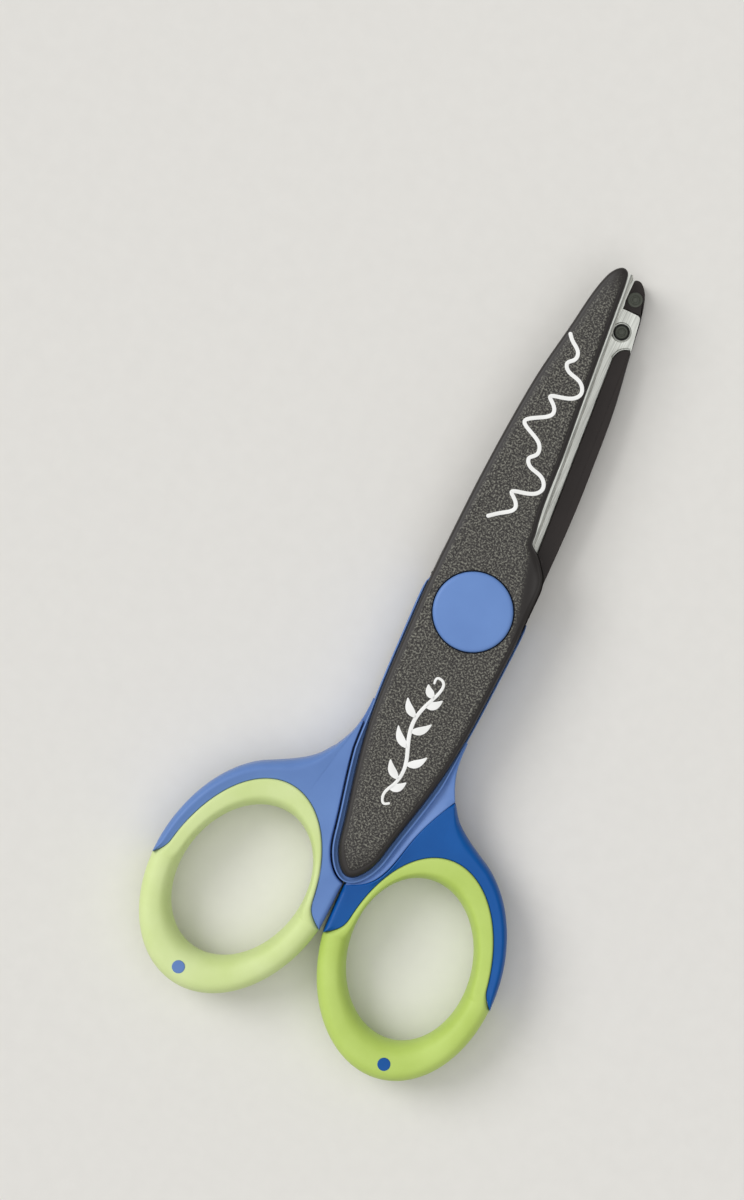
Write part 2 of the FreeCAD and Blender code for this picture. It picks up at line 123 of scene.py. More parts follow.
def runOf(keep):
    # indices of the points kept on a closed line, in order from where the gap ends
    order = (np.arange(len(keep)) + np.argmax(np.roll(keep, 1) & ~keep)) % len(keep)
    return order[keep[order]]


def ring3(xy, h):
    # a flat line lifted to a height, or to one height for each point
    return np.column_stack([xy, np.broadcast_to(h, len(xy))])


def plate(outline, low, high, bevel):
    # a slab over a closed outline with its edges rounded in four steps
    n, turn = inward(outline), np.linspace(0, math.pi / 2, 5)
    rings = [ring3(outline + n * bevel * (1 - math.sin(t)), low + bevel * (1 - math.cos(t))) for t in turn]
    rings += [ring3(outline + n * bevel * (1 - math.cos(t)), high - bevel * (1 - math.sin(t))) for t in turn]
    return surface(np.array(rings), False, True)


def lathe(profile, centre=(0.0, 0.0), steps=96):
    # a profile of (radius, h) turned about an upright axis; it starts and ends on the axis or closes on itself
    r, h = np.array(profile, float).T
    turn = np.linspace(0, 2 * math.pi, steps, endpoint=False)
    x = centre[0] + np.outer(np.cos(turn), r)
    y = centre[1] + np.outer(np.sin(turn), r)
    rings = np.stack([x, y, np.broadcast_to(h, x.shape)], -1)
    return surface(rings, True, abs(r[0]) > 1e-6)


def joined(*shapes):
    # several shapes as one mesh: each shape's indices move past the points before it
    starts = np.cumsum([0] + [len(shape[0]) for shape in shapes])
    quads = [q + start for (_, blocks, _), start in zip(shapes, starts) for q in blocks]
    ends = [end + start for (_, _, flats), start in zip(shapes, starts) for end in flats]
    return np.vstack([shape[0] for shape in shapes]), quads, ends


def addPiece(name, shape, back=False, sharp=35, marks=None):
    # the mesh of one piece; the back half is the front half turned over about the long axis
    points, quads, ends = shape
    faces = np.vstack(quads).tolist() + [end.tolist() for end in ends]
    points = points * (-1, 1, -1) if back else points
    place = points * 0.001 + (0, 0, middle)
    mesh = bpy.data.meshes.new(name)
    mesh.from_pydata(place.tolist(), [], faces)
    if marks:
        for key, values in marks.items():
            layer = mesh.attributes.new(key, "FLOAT", "POINT")
            layer.data.foreach_set("value", np.asarray(values, np.float32))
    edit = bmesh.new()
    edit.from_mesh(mesh)
    bmesh.ops.remove_doubles(edit, verts=edit.verts, dist=1e-7)
    bmesh.ops.dissolve_degenerate(edit, edges=edit.edges, dist=1e-7)
    bmesh.ops.recalc_face_normals(edit, faces=edit.faces)
    edit.to_mesh(mesh)
    edit.free()
    mesh.shade_smooth()
    mesh.set_sharp_from_angle(angle=math.radians(sharp))
    piece = bpy.data.objects.new(name, mesh)
    bpy.context.scene.collection.objects.link(piece)
    return piece


def finished(piece, material, body, slot, *nodes):
    # material and body of a piece, and the CAD nodes it stands for; the slot argument is not used
    piece.data.materials.clear()
    piece.data.materials.append(material)
    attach(piece, body)
    if nodes:
        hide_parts(*nodes)


def cutBy(piece, tool, sharp=35):
    # takes the tool's solid out of the piece
    change = piece.modifiers.new("cut", "BOOLEAN")
    change.operation, change.object, change.solver = "DIFFERENCE", tool, "EXACT"
    graph = bpy.context.evaluated_depsgraph_get()
    mesh = bpy.data.meshes.new_from_object(piece.evaluated_get(graph))
    piece.modifiers.clear()
    piece.data = mesh
    mesh.shade_smooth()
    mesh.set_sharp_from_angle(angle=math.radians(sharp))
    bpy.data.objects.remove(tool)
    return piece


def smooth(x, low, high):
    t = np.clip((np.asarray(x, float) - low) / (high - low), 0, 1)
    return t * t * (3 - 2 * t)


# ---- materials

def linear(colour):
    # sRGB hex to the linear values that the shader wants
    parts = [int(colour[i:i + 2], 16) / 255 for i in (1, 3, 5)]
    return [c / 12.92 if c <= 0.04045 else ((c + 0.055) / 1.055) ** 2.4 for c in parts] + [1.0]


def addNode(tree, kind, inputs=None, **settings):
    # one node with its settings; an input given as a socket is linked, and anything else is its value
    node = tree.nodes.new(kind)
    for key, value in settings.items():
        setattr(node, key, value)
    for key, value in (inputs or {}).items():
        if isinstance(value, bpy.types.NodeSocket):
            tree.links.new(value, node.inputs[key])
        else:
            node.inputs[key].default_value = value
    return node


def newMaterial(name, roughness, metallic=0.0, **sockets):
    material = bpy.data.materials.new(name)
    material.use_nodes = True
    tree = material.node_tree
    shader = tree.nodes["Principled BSDF"]
    shader.inputs["Roughness"].default_value = roughness
    shader.inputs["Metallic"].default_value = metallic
    for key, value in sockets.items():
        shader.inputs[key.replace("_", " ")].default_value = value
    return material, tree, shader


def twoTone(tree, shader, factor, dark, light, low=0.3, high=0.7):
    ramp = addNode(tree, "ShaderNodeValToRGB", {"Fac": factor})
    ramp.color_ramp.elements[0].position, ramp.color_ramp.elements[0].color = low, linear(dark)
    ramp.color_ramp.elements[1].position, ramp.color_ramp.elements[1].color = high, linear(light)
    tree.links.new(ramp.outputs["Color"], shader.inputs["Base Color"])
    return ramp


def mouldedPlastic(name, dark, light, roughness):
    # injection-moulded ABS: even colour, a soft sheen, and the faint waviness of a moulded face
    material, tree, shader = newMaterial(name, roughness, IOR=1.53, Specular_IOR_Level=0.2)
    place = addNode(tree, "ShaderNodeTexCoord").outputs["Object"]
    cloud = addNode(tree, "ShaderNodeTexNoise", {"Vector": place, "Scale": 90.0, "Detail": 3.0})  # 11 mm clouds
    twoTone(tree, shader, cloud.outputs["Fac"], dark, light)
    skin = addNode(tree, "ShaderNodeTexNoise", {"Vector": place, "Scale": 1600.0, "Detail": 2.0})  # 0.6 mm ripple
    bump = addNode(tree, "ShaderNodeBump", {"Height": skin.outputs["Fac"], "Strength": 0.06, "Distance": 0.0002})
    tree.links.new(bump.outputs["Normal"], shader.inputs["Normal"])
    return material


def softElastomer(name, dark, light):
    # over-moulded thermoplastic elastomer: matt, slightly translucent look, fine spark-eroded grain of 0.4 mm
    material, tree, shader = newMaterial(name, 0.55, IOR=1.5)
    shader.inputs["Sheen Weight"].default_value = 0.08
    place = addNode(tree, "ShaderNodeTexCoord").outputs["Object"]
    cloud = addNode(tree, "ShaderNodeTexNoise", {"Vector": place, "Scale": 120.0, "Detail": 4.0})  # 8 mm clouds
    twoTone(tree, shader, cloud.outputs["Fac"], dark, light)
    grain = addNode(tree, "ShaderNodeTexNoise", {"Vector": place, "Scale": 2500.0, "Detail": 2.0})
    bump = addNode(tree, "ShaderNodeBump", {"Height": grain.outputs["Fac"], "Strength": 0.12, "Distance": 0.0002})
    tree.links.new(bump.outputs["Normal"], shader.inputs["Normal"])
    return material


def grainedCover():
    # glass-filled nylon: a coarse spark-eroded face, 0.37 mm pits, inside a smooth moulded border. The smooth border,
    # shoulder and tip get a darker colour than the face: partly their smooth finish, partly painted shade on the
    # rounded border and sloping shoulder.
    material, tree, shader = newMaterial("grainedNylon", 0.46, IOR=1.53, Specular_IOR_Level=0.4)
    place = addNode(tree, "ShaderNodeTexCoord").outputs["Object"]
    grainAndShadeMix = addNode(tree, "ShaderNodeAttribute", attribute_name="grain").outputs["Fac"]
    fine = addNode(tree, "ShaderNodeTexNoise", {"Vector": place, "Scale": 2700.0, "Detail": 2.0, "Roughness": 0.6})
    speck = addNode(tree, "ShaderNodeValToRGB", {"Fac": fine.outputs["Fac"]})
    stops = speck.color_ramp.elements
    stops[0].position, stops[0].color = 0.38, linear("#1d1a18")
    stops[1].position, stops[1].color = 0.66, linear("#86857a")
    stops.new(0.5).color = linear("#3a3733")
    # where the mask is 0 the colour is the darker #262220: painted shade on the border and shoulder, on top of the
    # smooth finish's own darker tone
    colour = addNode(tree, "ShaderNodeMix", {0: grainAndShadeMix, 6: linear("#262220"), 7: speck.outputs["Color"]},
                     data_type="RGBA")
    tree.links.new(colour.outputs[2], shader.inputs["Base Color"])
    height = addNode(tree, "ShaderNodeMath", {0: fine.outputs["Fac"], 1: grainAndShadeMix}, operation="MULTIPLY")
    bump = addNode(tree, "ShaderNodeBump", {"Height": height.outputs[0], "Strength": 0.6, "Distance": 0.0003})
    tree.links.new(bump.outputs["Normal"], shader.inputs["Normal"])
    return material


def bladeSteel():
    # cold-rolled stainless sheet, brushed along the blade: fine lines 0.1 mm apart, drawn 0.25 mm so they show
    material, tree, shader = newMaterial("brushedStainless", 0.36, 1.0)
    place = addNode(tree, "ShaderNodeTexCoord").outputs["Object"]
    along = addNode(tree, "ShaderNodeMapping", {"Vector": place, "Scale": (4000.0, 120.0, 4000.0)})
    lines = addNode(tree, "ShaderNodeTexNoise", {"Vector": along.outputs["Vector"], "Scale": 1.0, "Detail": 2.0})
    twoTone(tree, shader, lines.outputs["Fac"], "#b2b3ad", "#dddfd8")
    bump = addNode(tree, "ShaderNodeBump", {"Height": lines.outputs["Fac"], "Strength": 0.15, "Distance": 0.0001})
    tree.links.new(bump.outputs["Normal"], shader.inputs["Normal"])
    return material


def plainFinish(name, dark, light, roughness, metallic=0.0):
    # turned or printed small parts: an even finish with a little mottling of 3 mm
    material, tree, shader = newMaterial(name, roughness, metallic)
    place = addNode(tree, "ShaderNodeTexCoord").outputs["Object"]
    cloud = addNode(tree, "ShaderNodeTexNoise", {"Vector": place, "Scale": 300.0, "Detail": 2.0})
    twoTone(tree, shader, cloud.outputs["Fac"], dark, light)
    return material


royalAbs = mouldedPlastic("royalBlueAbs", "#05509a", "#0858a4", 0.36)
periwinkleAbs = mouldedPlastic("periwinkleAbs", "#6182bd", "#698bc6", 0.38)
# pivot disc and screw ring: a lighter copy of the periwinkle plastic, painted brighter light on the same plastic as the
# collar
litPeriwinkleAbs = mouldedPlastic("litPeriwinkleAbs", "#688bc8", "#6f93d0", 0.38)
limeGrip = softElastomer("limeElastomer", "#b6cf60", "#c0d86e")
paleGrip = softElastomer("paleLimeElastomer", "#cfe094", "#d8e7a4")
coverNylon = grainedCover()
# studs and tip boss: a lighter grey-green than the cover, partly their own colour, partly painted highlight so the boss
# ring shows
studGreyAndHighlight = mouldedPlastic("studGreyNylonPaintedHighlight", "#55584f", "#6a6d64", 0.5)
smoothNylon = mouldedPlastic("smoothBlackNylon", "#2d2725", "#342e2c", 0.4)
steel = bladeSteel()
zincSteel = plainFinish("zincPlatedSteel", "#aeb0ac", "#c9cbc6", 0.3, 1.0)
acetal = plainFinish("whiteAcetal", "#e4e3dc", "#eeede8", 0.35)
whiteInk = plainFinish("whitePadPrintInk", "#f1f1ee", "#fafaf8", 0.5)
print("materials made")


# ---- blade covers

cover = {"upper": [(0.945, 0.475), (0.81, 0.64), (0.675, 0.795), (0.54, 0.89), (0.40, 0.952), (0.20, 0.993), (0, 1)],
         "lower": [(0.17, 0.972), (0.35, 0.933), (0.52, 0.848), (0.69, 0.676), (0.86, 0.462), (0.955, 0.295)],
         "shoulder": [(0, 12.0), (0, 9.0), (-0.1, 6.7), (-0.65, 4.7), (-2.0, 2.7), (-3.7, 0.85)],
         "shoulderFoot": [(0.95, 0.1), (0.2, -0.6), (0.02, -1.7)],
         "tip": [(0.0, 0.92), (0.2, 0.39), (0.65, 0.06), (1.1, 0.04), (1.6, 0.33), (2.05, 0.83)], "tipRadius": 1.5,
         "edgeAtPivot": 6.3, "edgeAtTip": -0.7, "shoulderY": 16.5, "points": 1000,
         "border": 0.95, "tailBorder": 1.45, "borderFall": 0.95, "step": 0.07, "crown": 0.16, "holeGap": 0.15,
         "smoothEdge": [(8.75, -6), (8.7, 0), (8.1, 3.5), (7.0, 7.5), (6.0, 11), (5.0, 14.5), (4.0, 18), (3.0, 22)],
         "smoothDrop": 0.5}


def edgeX(y):
    # the straight long edge of the front cover
    return cover["edgeAtPivot"] - (cover["edgeAtPivot"] - cover["edgeAtTip"]) * y / coverReach


def coverOutline(count):
    left = [(-x * halfWidth, y * coverReach) for y, x in cover["upper"]]
    tail = [(x * halfWidth, -y * coverTail) for y, x in cover["lower"]]
    lower = [(-x, y) for x, y in tail] + [(0.0, -coverTail)] + tail[::-1]
    high, r = cover["shoulderY"], cover["tipRadius"]
    shoulder = [(halfWidth, 0)] + [(halfWidth + x, high - y) for x, y in cover["shoulder"]]
    shoulder += [(edgeX(high) + x, high - y) for x, y in cover["shoulderFoot"]]
    straight = [(edgeX(y), y) for y in np.linspace(high + 4.5, coverReach - 3 * r, 5)]
    tip = [(cover["edgeAtTip"] - x * r, coverReach - y * r) for x, y in cover["tip"]]
    return throughPoints(left + lower + shoulder + straight + tip, count, True)


def faceHeight(xy):
    # the outer face is crowned across, highest along its middle, and falls away smoothly at the shoulder
    rows = np.array(cover["smoothEdge"], float)
    past = xy[:, 0] - np.interp(xy[:, 1], rows[:, 1], rows[:, 0])
    inRange = smooth(xy[:, 1], -4, 2) * (1 - smooth(xy[:, 1], 17, 21))
    fall = cover["smoothDrop"] * smooth(past, -0.1, 2.6) * inRange
    return coverTop - cover["crown"] * (xy[:, 0] / halfWidth) ** 2 - fall


def grainAndShadeMask(xy):
    # 1 on the grained face, 0 on the smooth shoulder and at the smooth tip; where it is 0 the cover is painted darker,
    # partly for the smooth finish and partly as painted shade, fading into the face over 1 to 4 mm
    rows = np.array(cover["smoothEdge"], float)
    past = xy[:, 0] - np.interp(xy[:, 1], rows[:, 1], rows[:, 0])
    inRange = smooth(xy[:, 1], -5, -1) * (1 - smooth(xy[:, 1], 18, 21))
    return (1 - smooth(past, -0.5, 0.7) * inRange) * (1 - smooth(xy[:, 1], 69.6, 71.4))


def coverShell():
    # rings from the foot of the side wall, over the rounded border and the crowned face, to the pivot hole
    outline = coverOutline(cover["points"])
    n, foot, y = inward(outline), layers["floorTop"], outline[:, 1]
    width = cover["border"] + (cover["tailBorder"] - cover["border"]) * smooth(-y, coverTail - 6, coverTail - 1)
    width = width * (1 - 0.25 * smooth(y, coverReach - 4, coverReach - 1))
    fall = cover["borderFall"]
    rings, marks = [], []

    # rings put without a grain mark, from the side wall over the rounded border, take the darker smooth colour: partly
    # the smooth finish, partly painted shade on the border
    def put(xy, h, grain=0.0):
        rings.append(ring3(xy, h))
        marks.append(np.broadcast_to(grain, len(xy)).astype(float))

    put(outline + n * 0.25, foot)
    put(outline + n * 0.05, foot + 0.05)
    put(outline, foot + 0.2)
    put(outline, coverTop - fall - 0.5)
    put(outline, coverTop - fall - 0.1)
    for turn in np.linspace(0, math.pi / 2, 9)[1:]:                 # quarter ellipse of the border
        xy = outline + n * (width * (1 - math.cos(turn)))[:, None]
        put(xy, faceHeight(xy) - cover["step"] - fall * (1 - math.sin(turn)))
    edge = outline + n * (width + 0.1)[:, None]
    put(edge, faceHeight(edge), grainAndShadeMask(edge) * 0.5)
    reach = np.linalg.norm(edge, axis=1)[:, None]
    hole = edge / reach * (capRadius + cover["holeGap"] + 0.12)
    for share in np.linspace(0, 1, 17)[1:] ** 0.8:
        xy = edge + (hole - edge) * share
        put(xy, faceHeight(xy), grainAndShadeMask(xy))
    wall = edge / reach * (capRadius + cover["holeGap"])
    put(wall, faceHeight(wall) - 0.1)
    put(wall, foot)
    return surface(np.array(rings).transpose(1, 0, 2), True, True), np.array(marks).T.ravel()


blade = {"standOut": 0.9, "startY": 15.6, "tipGap": 0.3, "flangeAtPivot": 8.0, "flangeAtTip": 2.4,
         "tabLow": 13.6, "tabHigh": 6.4, "tabRise": 2.6, "stripX": 1.3, "pitch": 20.15, "waveHeight": 4.2,
         "crestY": 28.1, "clearance": 0.06, "stud": (-3.1, 10.8), "dome": (-2.8, 3.8), "bend": 0.75,
         "ribLow": 0.5, "ribInset": 0.35, "armEnd": 11.1, "swing": 16.1, "hole": 1.6,
         "studProfile": [(0, 2.72), (0.45, 2.66), (0.6, 2.8), (0.75, 2.82), (0.9, 2.6), (1.15, 2.56),
                         (1.28, 2.7), (1.32, 3.1), (1.32, 3.6), (0, 3.6)],
         "bossProfile": [(0, 2.3), (0.4, 2.32), (0.6, 2.55), (0.8, 2.58), (0.95, 2.35), (1.2, 2.24),
                         (1.42, 2.3), (1.52, 2.5), (1.52, 2.8), (0, 2.8)],
         "turnUp": [(0.03, 2.78), (0.03, 0.75), (0.1, 0.62), (0.22, 0.58), (0.34, 0.62), (0.42, 0.75), (0.42, 2.78)],
         "holeRim": [(0, 0.3), (0, -0.12), (0.08, -0.24), (0.2, -0.28), (0.34, -0.22), (0.45, 0.02), (0.45, 0.3)]}


def flangeX(y):
    # hidden long edge of the front blade's flange
    start, end = blade["flangeAtPivot"], blade["flangeAtTip"]
    return -start + (start - end) * y / coverReach


def sideX(y):
    # left side of the cover at this height above the pivot
    ys = [s * coverReach for s, _ in cover["upper"]][::-1]
    xs = [x * halfWidth for _, x in cover["upper"]][::-1]
    return -np.interp(y, ys, xs)


def hollowLine(first):
    # concave upper end of the rib
    neck, top = coverReach - blade["tabLow"] - blade["tabRise"], coverReach - blade["tabLow"]
    return throughPoints([first, (-4.9, top - 0.55), (-4.15, top - 1.35), (flangeX(neck) - 0.1, neck)], 24)


def coverRib():
    # thick rib: round the arm's end below, beside the flange above, with a hollowed upper end
    outline = coverOutline(1600)
    x, y = outline.T
    neck, top = coverReach - blade["tabLow"] - blade["tabRise"], coverReach - blade["tabLow"]
    start, end = blade["startY"] - 0.1, blade["armEnd"]
    radius = np.hypot(x, y)
    left = outline[(x < 0) & (y > 0) & (radius > end) & (y < top)]
    left = left[np.argsort(left[:, 1])]
    left[:, 0] += blade["ribInset"] * smooth(left[:, 1], 22, 52)
    hollow = hollowLine((left[-1][0], top))
    inner = [(flangeX(v) - 0.1, v) for v in np.linspace(neck, start, 30)[1:]]
    right = outline[(x > 0) & (y > 0) & (y < start) & (radius > end) & (radius < blade["swing"])]
    right = right[np.argsort(-right[:, 1])]
    cross = [(flangeX(start) + 1.5, start), (0, start), (right[0][0] - 0.8, start)]
    turn = np.linspace(math.atan2(right[-1][1], right[-1][0]), math.atan2(left[0][1], left[0][0]), 60)[1:-1]
    arc = np.stack([np.cos(turn), np.sin(turn)], 1) * end
    line = np.vstack([left, hollow[1:], inner, cross, right, arc])
    return plate(line, blade["ribLow"], layers["floorTop"] + 0.1, 0.2)


def tipPad():
    # thicker end of the cover past the blade's tab, with a ringed boss
    outline = coverOutline(1600)
    low = coverReach - blade["tabHigh"] + 0.12
    left = outline[(outline[:, 1] > low) & (outline[:, 0] < -blade["stripX"] + 0.35)]
    left = left[np.argsort(-np.arctan2(left[:, 1] - low, left[:, 0] + 3))]
    left[:, 0] = np.minimum(left[:, 0] + 0.15, -blade["stripX"] + 0.3)
    line = np.vstack([left, [(-blade["stripX"] + 0.25, low + 1.6), (-blade["stripX"] - 0.1, low)]])
    centre = (blade["dome"][0], coverReach - blade["dome"][1])
    return plate(line, 2.6, layers["floorTop"] + 0.1, 0.2), lathe(blade["bossProfile"], centre, 56)


def addCover(name, node, body, back):
    shell, grain = coverShell()
    piece = addPiece(name, shell, back, 40, {"grain": grain})
    finished(piece, coverNylon, body, "charcoal_textured_plastic", node)
    pad, boss = tipPad()
    rib = addPiece(name + "Rib", joined(coverRib(), pad), back)
    finished(rib, smoothNylon, body, "charcoal_textured_plastic")
    # the boss takes the lighter stud colour, partly a painted highlight
    finished(addPiece(name + "Boss", boss, back), studGreyAndHighlight, body, "charcoal_textured_plastic")


# ---- bent blades

def wave(r):
    # the cutting edge: two small bumps between deep notches, repeated every pitch
    turn = 2 * math.pi * (r - blade["crestY"]) / blade["pitch"]
    return 0.261 * np.cos(turn) + 0.019 * np.cos(2 * turn) + 0.239 * np.cos(3 * turn)


def bladeShape(sign):
    # a section of flange, bend and lip carried along the blade; the lip ends on the wave
    top, sheet, bend = layers["floorTop"] - 0.02, layers["sheet"], blade["bend"]
    tabLow, tabHigh = coverReach - blade["tabLow"], coverReach - blade["tabHigh"]
    rows = np.concatenate([np.linspace(blade["startY"], tabHigh - 0.01, 460),
                           np.linspace(tabHigh, coverReach - blade["tipGap"], 60)])
    outer = edgeX(rows) + blade["standOut"]
    hidden = flangeX(rows)
    tab = sideX(rows) + 0.12
    blend = smooth(rows, tabLow - blade["tabRise"], tabLow)
    hidden = hidden * (1 - blend) + tab * blend
    corner = 0.7 * (1 - np.sqrt(np.clip(1 - ((rows - (tabHigh - 0.7)) / 0.7) ** 2, 0, 1)))
    hidden = np.where(rows > tabHigh - 0.7, hidden + corner, hidden)
    hidden = np.where(rows >= tabHigh, -blade["stripX"], hidden)
    reach = np.hypot(outer - sheet / 2, rows)
    edge = sign * wave(reach) * blade["waveHeight"] + blade["clearance"]
    turn = np.linspace(0, math.pi / 2, 7)
    section = [(hidden, top - sheet), (hidden, top)]
    section += [(outer - bend + bend * math.sin(t), top - bend + bend * math.cos(t)) for t in turn]
    small, inner = 0.1, 0.12                                       # bevels of the cutting edge and of the inner bend
    section += [(outer, edge + small), (outer - small, edge)]
    section += [(outer - sheet + small, edge), (outer - sheet, edge + small)]
    section += [(outer - sheet, top - sheet - inner), (outer - sheet - inner, top - sheet)]
    rings = np.stack([np.stack([np.broadcast_to(x, rows.shape), rows, np.broadcast_to(h, rows.shape)], -1)
                      for x, h in section], 1)
    return surface(rings, False, True)


def bladeTrim(centre):
    # the sheet's edge turned up along the rib's hollow end, and the raised rim of the stud's hole
    face = layers["floorTop"] - 0.02 - layers["sheet"]
    top = coverReach - blade["tabLow"]
    line = hollowLine((sideX(top) + blade["ribInset"] + 0.1, top))
    along = np.gradient(line, axis=0)
    across = np.stack([-along[:, 1], along[:, 0]], 1) / np.linalg.norm(along, axis=1)[:, None]
    across = across * np.sign(across[len(across) // 2, 1])
    rings = np.stack([ring3(line + across * d, h) for d, h in blade["turnUp"]], 1)
    edge = surface(rings, False, True)
    turn = np.linspace(0, 2 * math.pi, 64, endpoint=False)
    around = np.stack([np.cos(turn), np.sin(turn)], 1)
    rings = np.stack([ring3(np.array(centre) + around * (blade["hole"] + d), face + h) for d, h in blade["holeRim"]], 1)
    return joined(edge, surface(rings, True, True))


def addBlade(name, node, body, back):
    piece = addPiece(name, bladeShape(-1 if back else 1), back, 30)
    x, drop = blade["stud"]
    y = coverReach - drop
    finished(addPiece(name + "Trim", bladeTrim((x, y)), back), steel, body, "blade_steel")
    r = blade["hole"]
    cutBy(piece, addPiece("holeTool", lathe([(0, 1), (r, 1), (r, 5), (0, 5)], (x, y), 48), back), 30)
    finished(piece, steel, body, "blade_steel", node)
    stud = addPiece(name + "Stud", lathe(blade["studProfile"], (x, y), 48), back)
    finished(stud, studGreyAndHighlight, body, "charcoal_textured_plastic")


for back in (False, True):
    side = "back" if back else "front"
    addCover(side + "Cover", side + "_blade_cover", side + "_half", back)
    addBlade(side + "Blade", side + "_blade", side + "_half", back)
print("covers and blades made")


# ---- collars

collar = {"band": 0.5, "rim": 1.25, "height": 1.75, "wingHeight": 1.2, "endRadius": 11.0,
          "rimLow": 23.8, "rimHigh": 31.8, "gap": 0.22, "halvesGap": 0.4,
          "wing": [(-6.1, 0.6), (-1.8, 11.9), (2.5, 22.3)],
          "shoulder": [(0.8, 26.0), (0.1, 28.8), (-0.2, 33.8)]}


def standOut(y):
    # how far the collar stands out beside the cover: a thin band above, a rim round the tail
    share = np.clip((collar["rimHigh"] - coverTail - y) / (collar["rimHigh"] - collar["rimLow"]), 0, 1)
    return collar["band"] + (collar["rim"] - collar["band"]) * share


def besideCover(points):
    return [(halfWidth + x, y - coverTail) for x, y in points]


def rimLine(extra=0.0, count=900):
    outline = coverOutline(count)
    return outline - inward(outline) * (standOut(outline[:, 1]) + extra)[:, None]


def collarRim():
    # rim, floor and inner ledge carried round the lower end of the cover; the rim's top dips towards the cover
    outline = coverOutline(1600)
    n = inward(outline)
    x, y = outline.T
    stand = np.minimum(standOut(y), np.where(y > 0, collar["endRadius"] - np.hypot(x, y), 9))
    order = runOf(stand > collar["gap"] + 0.04)
    outline, n, out = outline[order], n[order], stand[order]
    low, foot, gap = layers["armTop"], layers["floorTop"], collar["gap"]
    high = foot + collar["height"] - 0.7 * smooth(outline[:, 1], -32, -20)
    r = np.minimum((out - gap) / 2, 0.3)
    flat, drop = out - gap - r, np.minimum(0.9, 0.85 * (out - gap))
    section = [(out - 0.1, low), (out, low + 0.1), (out, high - r)]
    for turn in np.linspace(0, math.pi / 2, 6)[1:]:                # rounded crest, then a hollow down to the cover
        section.append((out - r * (1 - math.cos(turn)), high - r * (1 - math.sin(turn))))
    for part in (0.2, 0.4, 0.6, 0.8, 1.0):
        section.append((out - r - flat * part, high - drop * math.sin(part * math.pi / 2)))
    section += [(gap + 0 * r, foot + 0 * r), (-2.4 + 0 * r, foot + 0 * r), (-2.4 + 0 * r, low + 0 * r)]
    rings = np.stack([np.column_stack([outline - n * d[:, None], np.broadcast_to(h, d.shape)])
                      for d, h in section], 1)
    return surface(rings, False, True)


def collarWing():
    # the wing beside the loop: a sheet between the rim and the wing's line, hollowed along the rim
    foot = (0.4, -coverTail - collar["rim"] - 0.8)
    line = throughPoints([foot] + besideCover(collar["wing"]), 90)
    back = throughPoints([line[-1].tolist()] + besideCover(collar["shoulder"]), 30)[1:]
    outer = np.vstack([line, back])
    rim = rimLine(-0.35, 1400)
    rim = rim[(rim[:, 0] > 0.2) & (rim[:, 1] < back[-1][1])]
    rim = spaced(rim[np.argsort(rim[:, 1])], 200)
    share = np.linspace(0, 1, len(outer))
    index = np.clip(np.searchsorted(rim[:, 1], outer[:, 1] + 1.2 * (1 - share)), 0, len(rim) - 1)
    index = np.maximum.accumulate(index)
    inner = rim[index]
    low, top = layers["armTop"], layers["floorTop"] + collar["wingHeight"]
    across = outer - inner
    width = np.linalg.norm(across, axis=1)
    unit = across / np.maximum(width, 1e-6)[:, None]
    r = np.minimum(0.3, width * 0.3)[:, None]
    dip = np.minimum(0.75, width * 0.3)
    section = [(inner, low), (inner, top - dip)]
    for part in (0.2, 0.4, 0.6, 0.8):                              # quarter of a cosine, from the rim outwards
        section.append((inner + across * 0.85 * part, top - dip * math.cos(part * math.pi / 2)))
    section += [(outer - unit * r, top), (outer - unit * r * 0.3, top - 0.09), (outer, top - 0.3), (outer, low)]
    rings = np.stack([np.column_stack([p, np.broadcast_to(h, len(p))]) for p, h in section], 1)
    return surface(rings, False, True)


for back in (False, True):
    side = "back" if back else "front"
    piece = addPiece(side + "Collar", joined(collarRim(), collarWing()), back, 40)
    finished(piece, periwinkleAbs, side + "_half", "periwinkle_plastic", side + "_collar")
print("collars made")


# ---- finger loops

loop = {"holeWidth": 25.0, "holeLength": 32.8, "holeLean": 13.0, "holeDrop": 10.0, "sideWall": 5.75, "endWall": 8.75,
        "lean": 9.4, "rise": 0.85, "gripSide": 3.1, "gripEnd": 9.05, "gripLean": 4.5, "gripShift": (1.05, -3.8),
        "gap": 0.2, "edge": 2.4, "gripTop": 4.93, "hardTop": 4.55, "seamEdge": 1.0,
        "webOuter": [(14.8, 20.0), (17.6, 17.4), (20.8, 15.4), (24.5, 13.4)],
        "rightRamp": (6.5, -6.6, 2.5), "leftRamp": (164.0, 186.6, 4.0), "peg": (4.0, 4.1), "pegRadius": 1.3}

holeReach = math.hypot(loop["holeWidth"] / 2 * math.cos(math.radians(loop["holeLean"])),
                       loop["holeLength"] / 2 * math.sin(math.radians(loop["holeLean"])))
holeCentre = np.array([holeReach + loop["sideWall"], -coverTail - loop["holeDrop"]])


def ellipseReach(angle, centre, width, length, lean):
    # distance from the hole's centre to an ellipse, along each angle in degrees
    turn, lean = np.radians(angle), math.radians(lean)
    ray = np.stack([np.cos(turn), np.sin(turn)], -1)
    off = holeCentre - centre
    def local(v):
        return np.stack([v[..., 0] * math.cos(lean) + v[..., 1] * math.sin(lean),
                         -v[..., 0] * math.sin(lean) + v[..., 1] * math.cos(lean)], -1) / (width / 2, length / 2)
    d, o = local(ray), local(np.broadcast_to(off, ray.shape))
    a, b, c = (d * d).sum(-1), (d * o).sum(-1), (o * o).sum(-1) - 1
    return (-b + np.sqrt(b * b - a * c)) / a


def holeRadius(angle):
    return ellipseReach(angle, holeCentre, loop["holeWidth"], loop["holeLength"], loop["holeLean"])


